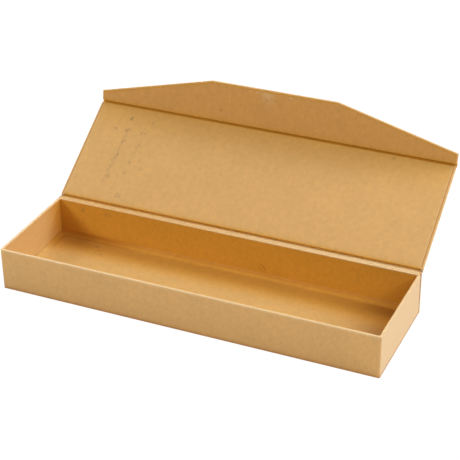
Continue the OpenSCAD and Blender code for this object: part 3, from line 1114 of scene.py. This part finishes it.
@dataclass
class Lid(CasePanel):
    """The lid's panel."""

    leaf: Leaf = Leaf.LID
    high: float = SIZES.depth

    def lining(self) -> bpy.types.Object:
        """Lays the lid's inner sheet, turned over both hinged edges."""
        span = SIZES.depth - 2 * self.edge
        middle = self.edge + span * stations(span, 1.4)[1:-1]
        far = self.mirrored(self.fold()[::-1], SIZES.depth)
        rows = np.concatenate([self.fold(), self.flat(middle), far])[:, None]
        x = self.width(1.4)[None]
        v, _, _, out_w = np.moveaxis(rows, -1, 0)
        to_end = x.max() - np.abs(x)
        swell = 0.5 * self.glue * unevenness(x, v, 1.9) * (out_w < -FACING) * ramp(to_end, 8)
        # Painted shade tone at both hinged edges, and the flap's painted shadow on the face near its fold;
        # the sheet's ends are pale from abrasion and painted highlight.
        hinged = fade(np.minimum(v, SIZES.depth - v), 0.8)
        marks = {
            WEAR_AND_HIGHLIGHT: 0.9 * fade(to_end, 0.5) * (1 - hinged),
            SHADE_TONE: np.maximum(hinged, 0.4 * fade(SIZES.depth - v, 13)),
            RUB: np.maximum(spots(x, v, LID_RUBS), strokes(x, v, LID_SMEARS)),
            SPECK_AND_SHADE: spots(x, v, LID_SPECKS),
        }
        rows = rows + joined(0.0, self.glue - swell, 0.0, 0.0)
        return self.sheet("lid_lining_paper", "lid_lining", x, rows, marks)


@dataclass
class Spine(CasePanel):
    """The spine's panel, which stands behind the tray."""

    leaf: Leaf = Leaf.SPINE
    high: float = SIZES.height
    hidden_depth: float = 30.0

    def lining(self) -> bpy.types.Object:
        """Lays the spine's inner sheet, turned over its top edge."""
        down = self.flat(self.edge + np.linspace(0, self.hidden_depth, 16)[1:])
        rows = self.mirrored(np.concatenate([self.fold(), down]), SIZES.height)[:, None]
        x = self.width(3.0)[None]
        # The top edge: painted highlight, paler to the right, with a trace of the painted shade tone.
        top = fade(SIZES.height - rows[..., 0], 1.5)
        marks = {SHADE_TONE: 0.15 * top, WEAR_AND_HIGHLIGHT: paler_to_right(x) * top}
        return self.sheet("spine_lining_paper", "spine_lining", x, rows, marks)


@dataclass
class Flap(CasePanel):
    """The flap's panel, a long trapezoid with clipped ends."""

    leaf: Leaf = Leaf.FLAP
    high: float = SIZES.flap_depth
    step: float = 1.2
    # A fainter darker line along the lining's edge, and more painted shade tone on the inward face.
    darkened: float = 0.3
    shade_share: float = 0.6

    @property
    def slope(self) -> float:
        """How steeply the slanting edges fall."""
        run = (SIZES.length - SIZES.flap_tip_width) / 2
        return (SIZES.flap_depth - SIZES.flap_end_depth) / run

    def corners(self, inset: float) -> tuple[float, float, float, float]:
        """X and V of the outline's end corner and tip corner for an inset."""
        lift = math.hypot(1, self.slope)
        end_v = SIZES.flap_end_depth + inset * (self.slope - lift)
        rise = SIZES.flap_depth - SIZES.flap_end_depth
        tip_x = SIZES.half_length - (rise - inset + inset * lift) / self.slope
        return SIZES.half_length - inset, end_v, tip_x, SIZES.flap_depth - inset

    def columns(self, inset: float) -> tuple[Array, Array]:
        """X of the columns, and V of their lower ends, along the slants and the tip."""
        end_x, end_v, tip_x, tip_v = self.corners(inset)
        slant = stations((SIZES.length - SIZES.flap_tip_width) / 2, self.step)
        tip = stations(SIZES.flap_tip_width, self.step)[1:-1]
        x = np.concatenate([-end_x + (end_x - tip_x) * slant, -tip_x + 2 * tip_x * tip])
        x = np.concatenate([x, end_x - (end_x - tip_x) * slant[::-1]])
        fall = end_v + (end_x - np.abs(x)) * (tip_v - end_v) / (end_x - tip_x)
        return x, np.minimum(fall, tip_v)

    def outline(self, inset: float) -> tuple[Array, Array]:
        """The flap's outline filled with a grid.

        Args:
            inset: distance inside the outline.

        Returns:
            X and V. Columns stand on the slants and the tip, and rows share out their height.
        """
        x, fall = self.columns(inset)
        v = inset + (fall - inset)[None, :] * stations(self.high, self.step)[:, None]
        return np.broadcast_arrays(x[None, :], v)

    def distance(self, x: Array, v: Array) -> Array:
        """Distance of points from the flap's nearest edge, inside the rounding."""
        end_x, end_v, _, tip_v = self.corners(0.0)
        fall = end_v + (end_x - np.abs(x)) * self.slope
        slant = (fall - v) / math.hypot(1, self.slope)
        nearest = np.minimum(np.minimum(tip_v - v, slant), np.minimum(end_x - np.abs(x), v))
        return np.maximum(nearest - self.edge, 0)

    def lining(self) -> bpy.types.Object:
        """Lays the flap's inner sheet, with the ring that the magnet's edge presses into it.

        Returns:
            The sheet. The ring is a bell curve of the distance from the magnet's edge.
        """
        x, fall = self.columns(SIZES.lining_inset)
        share = stations(SIZES.flap_depth, 0.8)[1:, None]
        face = self.flat(self.edge + (fall - self.edge)[None, :] * share)
        rows = np.concatenate([np.repeat(self.fold()[:, None], len(x), axis=1), face])
        v, on_face = rows[..., 0], rows[..., 3] < -FACING
        x = np.broadcast_to(x[None], v.shape)
        away = np.hypot(x, v - SIZES.magnet_drop) - SIZES.disc_width / 2
        ring = bell(away, self.mark_reach) * on_face
        marks = {
            WEAR_AND_HIGHLIGHT: spots(x, v, FLAP_WORN) * on_face,
            # Painted shade tone in the fold.
            SHADE_TONE: fade(v, 0.8),
            RUB: 0.15 * ring,
            SPECK_AND_SHADE: spots(x, v, FLAP_SPECKS),
        }
        rows = rows + joined(0.0, self.glue * ring, 0.0, 0.0)
        return self.sheet("flap_lining_paper", "flap_lining", x, rows, marks)


class Layer(Enum):
    """A hinge's two papers, counted from the outside."""

    COVER = 0
    LINING = 1


@dataclass
class PaperHinge:
    """A paper hinge: cover and lining where they cross from one panel to the next."""

    name: str
    bodies: tuple[str, str]
    leaves: tuple[Leaf, Leaf]
    edge: float
    crease: float
    # Painted shade over the lining, and depth of the pale band before the crease, from abrasion and painted
    # highlight.
    darkened: float
    pale: float = 0.0
    bow: float = 0.25
    gap: float = 0.05
    run: float = 4.0

    def line(self, depth: int, t: Array) -> Array:
        """One face of the papers in section.

        Args:
            depth: number of papers outside it.
            t: shares of the way from the first panel to the second.

        Returns:
            Y and Z of a straight between the two panels' edges, bowed by a parabola.
        """
        level = np.array([SIZES.panel - depth * SIZES.paper])
        a, b = (
            leaf.place(np.zeros(1), np.array([v]), level)[0, 1:]
            for leaf, v in zip(self.leaves, (self.edge + self.gap, -self.gap))
        )
        if self.leaves[0] is Leaf.SPINE:
            a = np.array([SIZES.back + SIZES.panel + self.gap, SIZES.height - (2 - depth) * SIZES.paper])
        across = (b - a) / np.linalg.norm(b - a)
        return a + (b - a) * t + np.array([across[1], -across[0]]) * self.bow * 4 * t * (1 - t)

    def marks(self, x: Array, t: Array, half: float, layer: Layer) -> dict[str, Array]:
        """The marks of a paper's inner face: painted shade along the crease and over the lining by a share,
        the painted shade tone, and before the crease a pale band from abrasion and painted highlight;
        painted shade in the gaps at the back hinge's ends.
        """
        at_back = self.leaves[0] is Leaf.SPINE
        # Painted shade along the crease, and over the lining by a share.
        darkened = np.maximum(0.5 * bell(t - self.crease, 0.12), self.darkened) * layer.value
        # Pale before the crease, from abrasion and painted highlight, paler to the right.
        highlight = self.pale * ramp(0.75 - t, 0.2) * paler_to_right(x)
        # Painted shade in the gaps at the back hinge's ends.
        ends = 0.75 * fade(half - np.abs(x), 0.8) * at_back
        grids = np.broadcast_arrays(darkened, 1 - highlight, highlight, ends)
        return dict(zip((GRIME_AND_SHADE, SHADE_TONE, WEAR_AND_HIGHLIGHT, SPECK_AND_SHADE), grids))

    def strip(self, layer: Layer) -> bpy.types.Object:
        """Makes one of the two papers.

        Args:
            layer: which of them.

        Returns:
            The strip, whose thickness lies between its own line and the next layer's.
        """
        t = np.linspace(0, 1, 13)[:, None]
        outer, inner = (self.line(depth, t) for depth in (layer.value, layer.value + 1))
        half = SIZES.half_length - layer.value * SIZES.lining_inset
        x = (-half + 2 * half * stations(2 * half, 4.0))[None, :]
        face, back = (joined(x, line[:, :1], line[:, 1:]) for line in (outer, inner))
        uv = joined(x, self.run * t)
        patches = sheet_patches(face, back, uv, [{}, self.marks(x, t, half, layer), {}])
        kind = layer.name.lower()
        piece = made(f"{self.name}_{kind}_strip", patches, None)
        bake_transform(piece)
        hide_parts(f"{self.name}_{kind}")
        return piece


@dataclass
class Studio:
    """The floor, the lamps, the surroundings and the camera."""

    eye: tuple[float, float, float] = (460.03, -971.62, 690.22)
    right: tuple[float, float, float] = (0.91420679, 0.4051125, -0.01047883)
    down: tuple[float, float, float] = (0.19379916, -0.4597584, -0.86663955)
    ahead: tuple[float, float, float] = (-0.35590424, 0.79025697, -0.49882471)
    lens: float = 113.04
    lamps: tuple[tuple[str, float, float, float], ...] = (
        ("key_lamp", 90.0, 31.0, 47.0),
        ("front_right_lamp", 45.0, 35.0, 42.0),
        ("rear_right_lamp", 135.0, 38.0, 75.0),
        ("rear_lamp", 180.0, 63.0, 74.0),
        ("rear_left_lamp", 225.0, 19.0, 28.0),
        ("front_left_lamp", 315.0, 32.0, 67.0),
    )
    lamp_away: float = 4.0
    lamp_size: float = 1.3
    lamp_aim: tuple[float, float, float] = (0.0, 0.03, 0.05)
    floor_reach: float = 6.0
    floor_tone: float = 0.9
    floor_shadow: float = 0.13
    floor_glow: float = 0.93

    def camera(self) -> None:
        """Stands the camera where the photograph was taken from."""
        data = bpy.data.cameras.new("camera")
        data.lens = self.lens
        data.sensor_width = 36.0
        camera = bpy.data.objects.new("camera", data)
        turn = Matrix((self.right, -Vector(self.down), -Vector(self.ahead))).transposed()
        camera.matrix_world = Matrix.Translation(Vector(self.eye) * MM) @ turn.to_4x4()
        bpy.context.scene.collection.objects.link(camera)
        bpy.context.scene.camera = camera

    def surroundings(self) -> None:
        """Makes the surroundings: white to the eye and in reflections, and dark as light."""
        world = bpy.data.worlds.new("white_surroundings")
        bpy.context.scene.world = world
        tree = Tree(world)
        tree.finish(tree.add("Background", {"Color": WHITE, "Strength": tree.seen()}))

    def floor(self) -> None:
        """Lays a wide pale floor, near white to the eye, that keeps the object's shadow.

        To the eye and in reflections it adds a steady white to a faint share of its own light.
        """
        reach = self.floor_reach
        corners = [(-reach, -reach, 0), (reach, -reach, 0), (reach, reach, 0), (-reach, reach, 0)]
        mesh = bpy.data.meshes.new("floor")
        mesh.from_pydata(corners, [], [(0, 1, 2, 3)])
        floor = bpy.data.objects.new("floor", mesh)
        bpy.context.scene.collection.objects.link(floor)
        tree = Tree(bpy.data.materials.new("pale_floor"))
        pale = tree.add("BsdfDiffuse", {"Color": opaque(WHITE, self.floor_tone)}).outputs[0]
        faint = tree.add("BsdfDiffuse", {"Color": opaque(WHITE, self.floor_shadow)}).outputs[0]
        white = tree.add("Emission", {"Strength": self.floor_glow}).outputs[0]
        shown = tree.add("AddShader", {0: faint, 1: white}).outputs[0]
        dress(floor, tree.finish(tree.add("MixShader", {0: tree.seen(), 1: pale, 2: shown})))

    def lamp(self, name: str, azimuth: float, elevation: float, power: float) -> None:
        """Hangs a square lamp that points at the box.

        Args:
            name: the lamp's name.
            azimuth: degrees round the box from its front, towards its right.
            elevation: degrees above the floor.
            power: its power in watts.
        """
        data = bpy.data.lights.new(name, "AREA")
        data.shape = "SQUARE"
        data.size = self.lamp_size
        data.energy = power
        lamp = bpy.data.objects.new(name, data)
        turn, rise = math.radians(azimuth), math.radians(elevation)
        flat = math.cos(rise)
        away = Vector((flat * math.sin(turn), -flat * math.cos(turn), math.sin(rise)))
        look = (-away).to_track_quat("-Z", "Y").to_matrix().to_4x4()
        place = Vector(self.lamp_aim) + away * self.lamp_away
        lamp.matrix_world = Matrix.Translation(place) @ look
        bpy.context.scene.collection.objects.link(lamp)

    def set_up(self) -> None:
        """Sets the studio up."""
        self.camera()
        self.surroundings()
        self.floor()
        for lamp in self.lamps:
            self.lamp(*lamp)
        bpy.context.scene.view_settings.view_transform = "Standard"


HIDDEN_BOARDS = (
    "base_board", "front_wall_board", "back_wall_board", "left_wall_board", "right_wall_board",
    "spine_board", "lid_board", "flap_board",
)


def dress_solids() -> None:
    """Gives the solids that are carried over their materials."""
    board = GreyBoard("grey_board").material()
    finishes = {name: board for name in HIDDEN_BOARDS}
    solid = PatternOn.SOLID
    tape_brown = (0.40, 0.22, 0.09)
    finishes["base_sheet"] = KraftPaper("kraft_base_sheet", pattern_on=solid).material()
    finishes["corner_stays"] = KraftPaper("gummed_tape", tape_brown, pattern_on=solid).material()
    finishes["steel_disc"] = PlatedMetal("plated_steel", (0.55, 0.56, 0.57), 0.35).material()
    finishes["flap_magnet"] = PlatedMetal("nickel_plate", (0.66, 0.64, 0.60), 0.16).material()
    for name, material in finishes.items():
        dress(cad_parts[name], material)


def main() -> None:
    """Builds the box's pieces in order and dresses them."""
    logging.basicConfig(level=logging.INFO, format="%(message)s")
    Studio().set_up()
    cover = KraftPaper("kraft_cover_paper", (0.625, 0.347, 0.108), hairs=0.62).material()
    lining = KraftPaper("kraft_lining_paper").material()
    # The floor's sheet: its own colour, with a painted shade tone given as inside.
    floor = KraftPaper(
        "kraft_floor_paper", (0.57, 0.352, 0.128), inside=(0.64, 0.315, 0.05), gloss=0.12
    ).material()
    flap_side = KraftPaper("kraft_flap_paper", (0.58, 0.29, 0.068), gloss=0.3, hairs=0.6).material()
    tray, spine, lid, flap = Tray(), Spine(), Lid(), Flap()
    dress(tray.wrap(), cover)
    dress(tray.lining(), floor)
    dress(spine.cover("spine_cover_paper", "spine_cover"), cover)
    dress(spine.lining(), lining)
    dress(lid.cover("lid_cover_paper", "lid_cover"), cover)
    dress(lid.lining(), lining)
    dress(flap.cover("flap_cover_paper", "flap_cover"), cover)
    dress(flap.lining(), flap_side)
    # The back hinge: a painted highlight before its crease and painted shade in it; the flap hinge: painted
    # shade over its lining.
    back_hinge = PaperHinge(
        "back_hinge", ("tray", "lid"), (Leaf.SPINE, Leaf.LID), spine.high, 0.9, 0.0, pale=0.85
    )
    flap_hinge = PaperHinge(
        "flap_hinge", ("lid", "flap"), (Leaf.LID, Leaf.FLAP), lid.high, 0.5, 0.5
    )
    for hinge in (back_hinge, flap_hinge):
        dress(hinge.strip(Layer.COVER), cover)
        dress(hinge.strip(Layer.LINING), lining)
    dress_solids()


if __name__ == "__main__":
    main()
